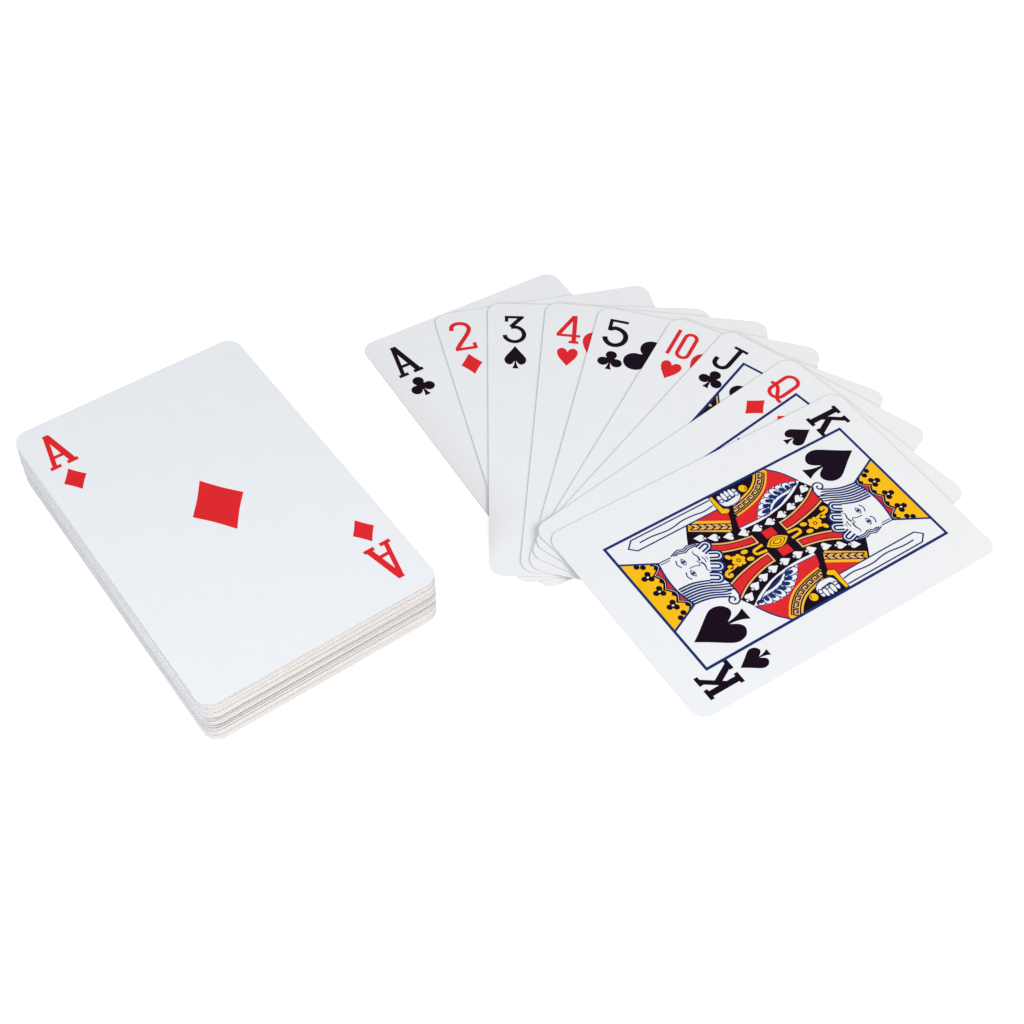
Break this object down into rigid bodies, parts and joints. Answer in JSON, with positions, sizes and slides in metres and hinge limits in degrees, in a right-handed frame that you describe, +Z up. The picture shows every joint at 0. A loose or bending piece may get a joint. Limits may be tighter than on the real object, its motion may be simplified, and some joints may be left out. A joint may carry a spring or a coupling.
{
  "type": "playing card deck",
  "caption": "Deck of playing cards: a squared face-up stack with its top ace showing, and a fan of loose cards laid beside it.",
  "frame": {"origin": "middle of the stack's footprint, on the table under its bottom card", "axes": "+X across the stack's cards towards the fan, +Y along them towards their upper ends, +Z up from the table"},
  "size_m": [0.1867, 0.1484, 0.0129],
  "materials": {
    "card_stock": "smooth varnished card, satin"
  },
  "bodies": {
    "ace_of_spades": {"ace_of_spades": "card_stock"},
    "two_of_spades": {"two_of_spades": "card_stock"},
    "four_of_spades": {"four_of_spades": "card_stock"},
    "five_of_spades": {"five_of_spades": "card_stock"},
    "six_of_spades": {"six_of_spades": "card_stock"},
    "seven_of_spades": {"seven_of_spades": "card_stock"},
    "eight_of_spades": {"eight_of_spades": "card_stock"},
    "nine_of_spades": {"nine_of_spades": "card_stock"},
    "ten_of_spades": {"ten_of_spades": "card_stock"},
    "jack_of_spades": {"jack_of_spades": "card_stock"},
    "queen_of_spades": {"queen_of_spades": "card_stock"},
    "ace_of_hearts": {"ace_of_hearts": "card_stock"},
    "two_of_hearts": {"two_of_hearts": "card_stock"},
    "three_of_hearts": {"three_of_hearts": "card_stock"},
    "five_of_hearts": {"five_of_hearts": "card_stock"},
    "six_of_hearts": {"six_of_hearts": "card_stock"},
    "seven_of_hearts": {"seven_of_hearts": "card_stock"},
    "eight_of_hearts": {"eight_of_hearts": "card_stock"},
    "nine_of_hearts": {"nine_of_hearts": "card_stock"},
    "jack_of_hearts": {"jack_of_hearts": "card_stock"},
    "queen_of_hearts": {"queen_of_hearts": "card_stock"},
    "king_of_hearts": {"king_of_hearts": "card_stock"},
    "two_of_clubs": {"two_of_clubs": "card_stock"},
    "three_of_clubs": {"three_of_clubs": "card_stock"},
    "four_of_clubs": {"four_of_clubs": "card_stock"},
    "six_of_clubs": {"six_of_clubs": "card_stock"},
    "seven_of_clubs": {"seven_of_clubs": "card_stock"},
    "eight_of_clubs": {"eight_of_clubs": "card_stock"},
    "nine_of_clubs": {"nine_of_clubs": "card_stock"},
    "ten_of_clubs": {"ten_of_clubs": "card_stock"},
    "queen_of_clubs": {"queen_of_clubs": "card_stock"},
    "king_of_clubs": {"king_of_clubs": "card_stock"},
    "three_of_diamonds": {"three_of_diamonds": "card_stock"},
    "four_of_diamonds": {"four_of_diamonds": "card_stock"},
    "five_of_diamonds": {"five_of_diamonds": "card_stock"},
    "six_of_diamonds": {"six_of_diamonds": "card_stock"},
    "seven_of_diamonds": {"seven_of_diamonds": "card_stock"},
    "eight_of_diamonds": {"eight_of_diamonds": "card_stock"},
    "nine_of_diamonds": {"nine_of_diamonds": "card_stock"},
    "ten_of_diamonds": {"ten_of_diamonds": "card_stock"},
    "jack_of_diamonds": {"jack_of_diamonds": "card_stock"},
    "king_of_diamonds": {"king_of_diamonds": "card_stock"},
    "ace_of_diamonds": {"ace_of_diamonds": "card_stock"},
    "ace_of_clubs": {"ace_of_clubs": "card_stock"},
    "two_of_diamonds": {"two_of_diamonds": "card_stock"},
    "three_of_spades": {"three_of_spades": "card_stock"},
    "four_of_hearts": {"four_of_hearts": "card_stock"},
    "five_of_clubs": {"five_of_clubs": "card_stock"},
    "ten_of_hearts": {"ten_of_hearts": "card_stock"},
    "jack_of_clubs": {"jack_of_clubs": "card_stock"},
    "queen_of_diamonds": {"queen_of_diamonds": "card_stock"},
    "king_of_spades": {"king_of_spades": "card_stock"}
  },
  "joints": [
    {"name": "spread_two_of_spades", "type": "slide", "parent": "ace_of_spades", "child": "two_of_spades", "axis": [-1, 0, 0], "range_m": [-0.00001, 0.00101]},
    {"name": "spread_four_of_spades", "type": "slide", "parent": "ace_of_spades", "child": "four_of_spades", "axis": [-1, 0, 0], "range_m": [-0.00001, 0.00201]},
    {"name": "spread_five_of_spades", "type": "slide", "parent": "ace_of_spades", "child": "five_of_spades", "axis": [-1, 0, 0], "range_m": [-0.00001, 0.00301]},
    {"name": "spread_six_of_spades", "type": "slide", "parent": "ace_of_spades", "child": "six_of_spades", "axis": [-1, 0, 0], "range_m": [-0.00001, 0.00401]},
    {"name": "spread_seven_of_spades", "type": "slide", "parent": "ace_of_spades", "child": "seven_of_spades", "axis": [-1, 0, 0], "range_m": [-0.00001, 0.00501]},
    {"name": "spread_eight_of_spades", "type": "slide", "parent": "ace_of_spades", "child": "eight_of_spades", "axis": [-1, 0, 0], "range_m": [-0.00001, 0.00601]},
    {"name": "spread_nine_of_spades", "type": "slide", "parent": "ace_of_spades", "child": "nine_of_spades", "axis": [-1, 0, 0], "range_m": [-0.00001, 0.00701]},
    {"name": "spread_ten_of_spades", "type": "slide", "parent": "ace_of_spades", "child": "ten_of_spades", "axis": [-1, 0, 0], "range_m": [-0.00001, 0.00801]},
    {"name": "spread_jack_of_spades", "type": "slide", "parent": "ace_of_spades", "child": "jack_of_spades", "axis": [-1, 0, 0], "range_m": [-0.00001, 0.00901]},
    {"name": "spread_queen_of_spades", "type": "slide", "parent": "ace_of_spades", "child": "queen_of_spades", "axis": [-1, 0, 0], "range_m": [-0.00001, 0.01001]},
    {"name": "spread_ace_of_hearts", "type": "slide", "parent": "ace_of_spades", "child": "ace_of_hearts", "axis": [-1, 0, 0], "range_m": [-0.00001, 0.01101]},
    {"name": "spread_two_of_hearts", "type": "slide", "parent": "ace_of_spades", "child": "two_of_hearts", "axis": [-1, 0, 0], "range_m": [-0.00001, 0.01201]},
    {"name": "spread_three_of_hearts", "type": "slide", "parent": "ace_of_spades", "child": "three_of_hearts", "axis": [-1, 0, 0], "range_m": [-0.00001, 0.01301]},
    {"name": "spread_five_of_hearts", "type": "slide", "parent": "ace_of_spades", "child": "five_of_hearts", "axis": [-1, 0, 0], "range_m": [-0.00001, 0.01401]},
    {"name": "spread_six_of_hearts", "type": "slide", "parent": "ace_of_spades", "child": "six_of_hearts", "axis": [-1, 0, 0], "range_m": [-0.00001, 0.01501]},
    {"name": "spread_seven_of_hearts", "type": "slide", "parent": "ace_of_spades", "child": "seven_of_hearts", "axis": [-1, 0, 0], "range_m": [-0.00001, 0.01601]},
    {"name": "spread_eight_of_hearts", "type": "slide", "parent": "ace_of_spades", "child": "eight_of_hearts", "axis": [-1, 0, 0], "range_m": [-0.00001, 0.01701]},
    {"name": "spread_nine_of_hearts", "type": "slide", "parent": "ace_of_spades", "child": "nine_of_hearts", "axis": [-1, 0, 0], "range_m": [-0.00001, 0.01801]},
    {"name": "spread_jack_of_hearts", "type": "slide", "parent": "ace_of_spades", "child": "jack_of_hearts", "axis": [-1, 0, 0], "range_m": [-0.00001, 0.01901]},
    {"name": "spread_queen_of_hearts", "type": "slide", "parent": "ace_of_spades", "child": "queen_of_hearts", "axis": [-1, 0, 0], "range_m": [-0.00001, 0.02001]},
    {"name": "spread_king_of_hearts", "type": "slide", "parent": "ace_of_spades", "child": "king_of_hearts", "axis": [-1, 0, 0], "range_m": [-0.00001, 0.02101]},
    {"name": "spread_two_of_clubs", "type": "slide", "parent": "ace_of_spades", "child": "two_of_clubs", "axis": [-1, 0, 0], "range_m": [-0.00001, 0.02201]},
    {"name": "spread_three_of_clubs", "type": "slide", "parent": "ace_of_spades", "child": "three_of_clubs", "axis": [-1, 0, 0], "range_m": [-0.00001, 0.02301]},
    {"name": "spread_four_of_clubs", "type": "slide", "parent": "ace_of_spades", "child": "four_of_clubs", "axis": [-1, 0, 0], "range_m": [-0.00001, 0.02401]},
    {"name": "spread_six_of_clubs", "type": "slide", "parent": "ace_of_spades", "child": "six_of_clubs", "axis": [-1, 0, 0], "range_m": [-0.00001, 0.02501]},
    {"name": "spread_seven_of_clubs", "type": "slide", "parent": "ace_of_spades", "child": "seven_of_clubs", "axis": [-1, 0, 0], "range_m": [-0.00001, 0.02601]},
    {"name": "spread_eight_of_clubs", "type": "slide", "parent": "ace_of_spades", "child": "eight_of_clubs", "axis": [-1, 0, 0], "range_m": [-0.00001, 0.02701]},
    {"name": "spread_nine_of_clubs", "type": "slide", "parent": "ace_of_spades", "child": "nine_of_clubs", "axis": [-1, 0, 0], "range_m": [-0.00001, 0.02801]},
    {"name": "spread_ten_of_clubs", "type": "slide", "parent": "ace_of_spades", "child": "ten_of_clubs", "axis": [-1, 0, 0], "range_m": [-0.00001, 0.02901]},
    {"name": "spread_queen_of_clubs", "type": "slide", "parent": "ace_of_spades", "child": "queen_of_clubs", "axis": [-1, 0, 0], "range_m": [-0.00001, 0.03001]},
    {"name": "spread_king_of_clubs", "type": "slide", "parent": "ace_of_spades", "child": "king_of_clubs", "axis": [-1, 0, 0], "range_m": [-0.00001, 0.03101]},
    {"name": "spread_three_of_diamonds", "type": "slide", "parent": "ace_of_spades", "child": "three_of_diamonds", "axis": [-1, 0, 0], "range_m": [-0.00001, 0.03201]},
    {"name": "spread_four_of_diamonds", "type": "slide", "parent": "ace_of_spades", "child": "four_of_diamonds", "axis": [-1, 0, 0], "range_m": [-0.00001, 0.03301]},
    {"name": "spread_five_of_diamonds", "type": "slide", "parent": "ace_of_spades", "child": "five_of_diamonds", "axis": [-1, 0, 0], "range_m": [-0.00001, 0.03401]},
    {"name": "spread_six_of_diamonds", "type": "slide", "parent": "ace_of_spades", "child": "six_of_diamonds", "axis": [-1, 0, 0], "range_m": [-0.00001, 0.03501]},
    {"name": "spread_seven_of_diamonds", "type": "slide", "parent": "ace_of_spades", "child": "seven_of_diamonds", "axis": [-1, 0, 0], "range_m": [-0.00001, 0.03601]},
    {"name": "spread_eight_of_diamonds", "type": "slide", "parent": "ace_of_spades", "child": "eight_of_diamonds", "axis": [-1, 0, 0], "range_m": [-0.00001, 0.03701]},
    {"name": "spread_nine_of_diamonds", "type": "slide", "parent": "ace_of_spades", "child": "nine_of_diamonds", "axis": [-1, 0, 0], "range_m": [-0.00001, 0.03801]},
    {"name": "spread_ten_of_diamonds", "type": "slide", "parent": "ace_of_spades", "child": "ten_of_diamonds", "axis": [-1, 0, 0], "range_m": [-0.00001, 0.03901]},
    {"name": "spread_jack_of_diamonds", "type": "slide", "parent": "ace_of_spades", "child": "jack_of_diamonds", "axis": [-1, 0, 0], "range_m": [-0.00001, 0.04001]},
    {"name": "stack_spread", "type": "slide", "parent": "ace_of_spades", "child": "king_of_diamonds", "axis": [-1, 0, 0], "range_m": [0, 0.041]},
    {"name": "deal_top", "type": "slide", "parent": "king_of_diamonds", "child": "ace_of_diamonds", "axis": [0, 1, 0], "range_m": [0, 0.042]},
    {"name": "fan_slide", "type": "slide", "parent": "ace_of_spades", "child": "ace_of_clubs", "axis": [1, 0, 0], "range_m": [-0.01, 0.06]},
    {"name": "swing_two_of_diamonds", "type": "hinge", "parent": "ace_of_clubs", "child": "two_of_diamonds", "pos_m": [0.06537, -0.03638, 0], "axis": [0, 0, 1], "range_deg": [-2.36, 17.26]},
    {"name": "swing_three_of_spades", "type": "hinge", "parent": "ace_of_clubs", "child": "three_of_spades", "pos_m": [0.06641, -0.0322, 0], "axis": [0, 0, 1], "range_deg": [-4.23, 31.01]},
    {"name": "swing_four_of_hearts", "type": "hinge", "parent": "ace_of_clubs", "child": "four_of_hearts", "pos_m": [0.06167, -0.04551, 0], "axis": [0, 0, 1], "range_deg": [-4.97, 36.51]},
    {"name": "swing_five_of_clubs", "type": "hinge", "parent": "ace_of_clubs", "child": "five_of_clubs", "pos_m": [0.05999, -0.04843, 0], "axis": [0, 0, 1], "range_deg": [-6.09, 44.76]},
    {"name": "swing_ten_of_hearts", "type": "hinge", "parent": "ace_of_clubs", "child": "ten_of_hearts", "pos_m": [0.06148, -0.04932, 0], "axis": [0, 0, 1], "range_deg": [-7.86, 57.76]},
    {"name": "swing_jack_of_clubs", "type": "hinge", "parent": "ace_of_clubs", "child": "jack_of_clubs", "pos_m": [0.06289, -0.04965, 0], "axis": [0, 0, 1], "range_deg": [-9.19, 67.51]},
    {"name": "swing_queen_of_diamonds", "type": "hinge", "parent": "ace_of_clubs", "child": "queen_of_diamonds", "pos_m": [0.06378, -0.04906, 0], "axis": [0, 0, 1], "range_deg": [-10.92, 80.26]},
    {"name": "fan_spread", "type": "hinge", "parent": "ace_of_clubs", "child": "king_of_spades", "pos_m": [0.06142, -0.0509, 0], "axis": [0, 0, 1], "range_deg": [-12, 88.25]}
  ],
  "couplings": [
    {"joint": "spread_two_of_spades", "follows": "stack_spread", "ratio": 0.02439},
    {"joint": "spread_four_of_spades", "follows": "stack_spread", "ratio": 0.04878},
    {"joint": "spread_five_of_spades", "follows": "stack_spread", "ratio": 0.073171},
    {"joint": "spread_six_of_spades", "follows": "stack_spread", "ratio": 0.097561},
    {"joint": "spread_seven_of_spades", "follows": "stack_spread", "ratio": 0.12195},
    {"joint": "spread_eight_of_spades", "follows": "stack_spread", "ratio": 0.14634},
    {"joint": "spread_nine_of_spades", "follows": "stack_spread", "ratio": 0.17073},
    {"joint": "spread_ten_of_spades", "follows": "stack_spread", "ratio": 0.19512},
    {"joint": "spread_jack_of_spades", "follows": "stack_spread", "ratio": 0.21951},
    {"joint": "spread_queen_of_spades", "follows": "stack_spread", "ratio": 0.2439},
    {"joint": "spread_ace_of_hearts", "follows": "stack_spread", "ratio": 0.26829},
    {"joint": "spread_two_of_hearts", "follows": "stack_spread", "ratio": 0.29268},
    {"joint": "spread_three_of_hearts", "follows": "stack_spread", "ratio": 0.31707},
    {"joint": "spread_five_of_hearts", "follows": "stack_spread", "ratio": 0.34146},
    {"joint": "spread_six_of_hearts", "follows": "stack_spread", "ratio": 0.36585},
    {"joint": "spread_seven_of_hearts", "follows": "stack_spread", "ratio": 0.39024},
    {"joint": "spread_eight_of_hearts", "follows": "stack_spread", "ratio": 0.41463},
    {"joint": "spread_nine_of_hearts", "follows": "stack_spread", "ratio": 0.43902},
    {"joint": "spread_jack_of_hearts", "follows": "stack_spread", "ratio": 0.46341},
    {"joint": "spread_queen_of_hearts", "follows": "stack_spread", "ratio": 0.4878},
    {"joint": "spread_king_of_hearts", "follows": "stack_spread", "ratio": 0.5122},
    {"joint": "spread_two_of_clubs", "follows": "stack_spread", "ratio": 0.53659},
    {"joint": "spread_three_of_clubs", "follows": "stack_spread", "ratio": 0.56098},
    {"joint": "spread_four_of_clubs", "follows": "stack_spread", "ratio": 0.58537},
    {"joint": "spread_six_of_clubs", "follows": "stack_spread", "ratio": 0.60976},
    {"joint": "spread_seven_of_clubs", "follows": "stack_spread", "ratio": 0.63415},
    {"joint": "spread_eight_of_clubs", "follows": "stack_spread", "ratio": 0.65854},
    {"joint": "spread_nine_of_clubs", "follows": "stack_spread", "ratio": 0.68293},
    {"joint": "spread_ten_of_clubs", "follows": "stack_spread", "ratio": 0.70732},
    {"joint": "spread_queen_of_clubs", "follows": "stack_spread", "ratio": 0.73171},
    {"joint": "spread_king_of_clubs", "follows": "stack_spread", "ratio": 0.7561},
    {"joint": "spread_three_of_diamonds", "follows": "stack_spread", "ratio": 0.78049},
    {"joint": "spread_four_of_diamonds", "follows": "stack_spread", "ratio": 0.80488},
    {"joint": "spread_five_of_diamonds", "follows": "stack_spread", "ratio": 0.82927},
    {"joint": "spread_six_of_diamonds", "follows": "stack_spread", "ratio": 0.85366},
    {"joint": "spread_seven_of_diamonds", "follows": "stack_spread", "ratio": 0.87805},
    {"joint": "spread_eight_of_diamonds", "follows": "stack_spread", "ratio": 0.90244},
    {"joint": "spread_nine_of_diamonds", "follows": "stack_spread", "ratio": 0.92683},
    {"joint": "spread_ten_of_diamonds", "follows": "stack_spread", "ratio": 0.95122},
    {"joint": "spread_jack_of_diamonds", "follows": "stack_spread", "ratio": 0.97561},
    {"joint": "swing_two_of_diamonds", "follows": "fan_spread", "ratio": 0.19547},
    {"joint": "swing_three_of_spades", "follows": "fan_spread", "ratio": 0.35127},
    {"joint": "swing_four_of_hearts", "follows": "fan_spread", "ratio": 0.4136},
    {"joint": "swing_five_of_clubs", "follows": "fan_spread", "ratio": 0.50708},
    {"joint": "swing_ten_of_hearts", "follows": "fan_spread", "ratio": 0.65439},
    {"joint": "swing_jack_of_clubs", "follows": "fan_spread", "ratio": 0.76487},
    {"joint": "swing_queen_of_diamonds", "follows": "fan_spread", "ratio": 0.90935}
  ]
}
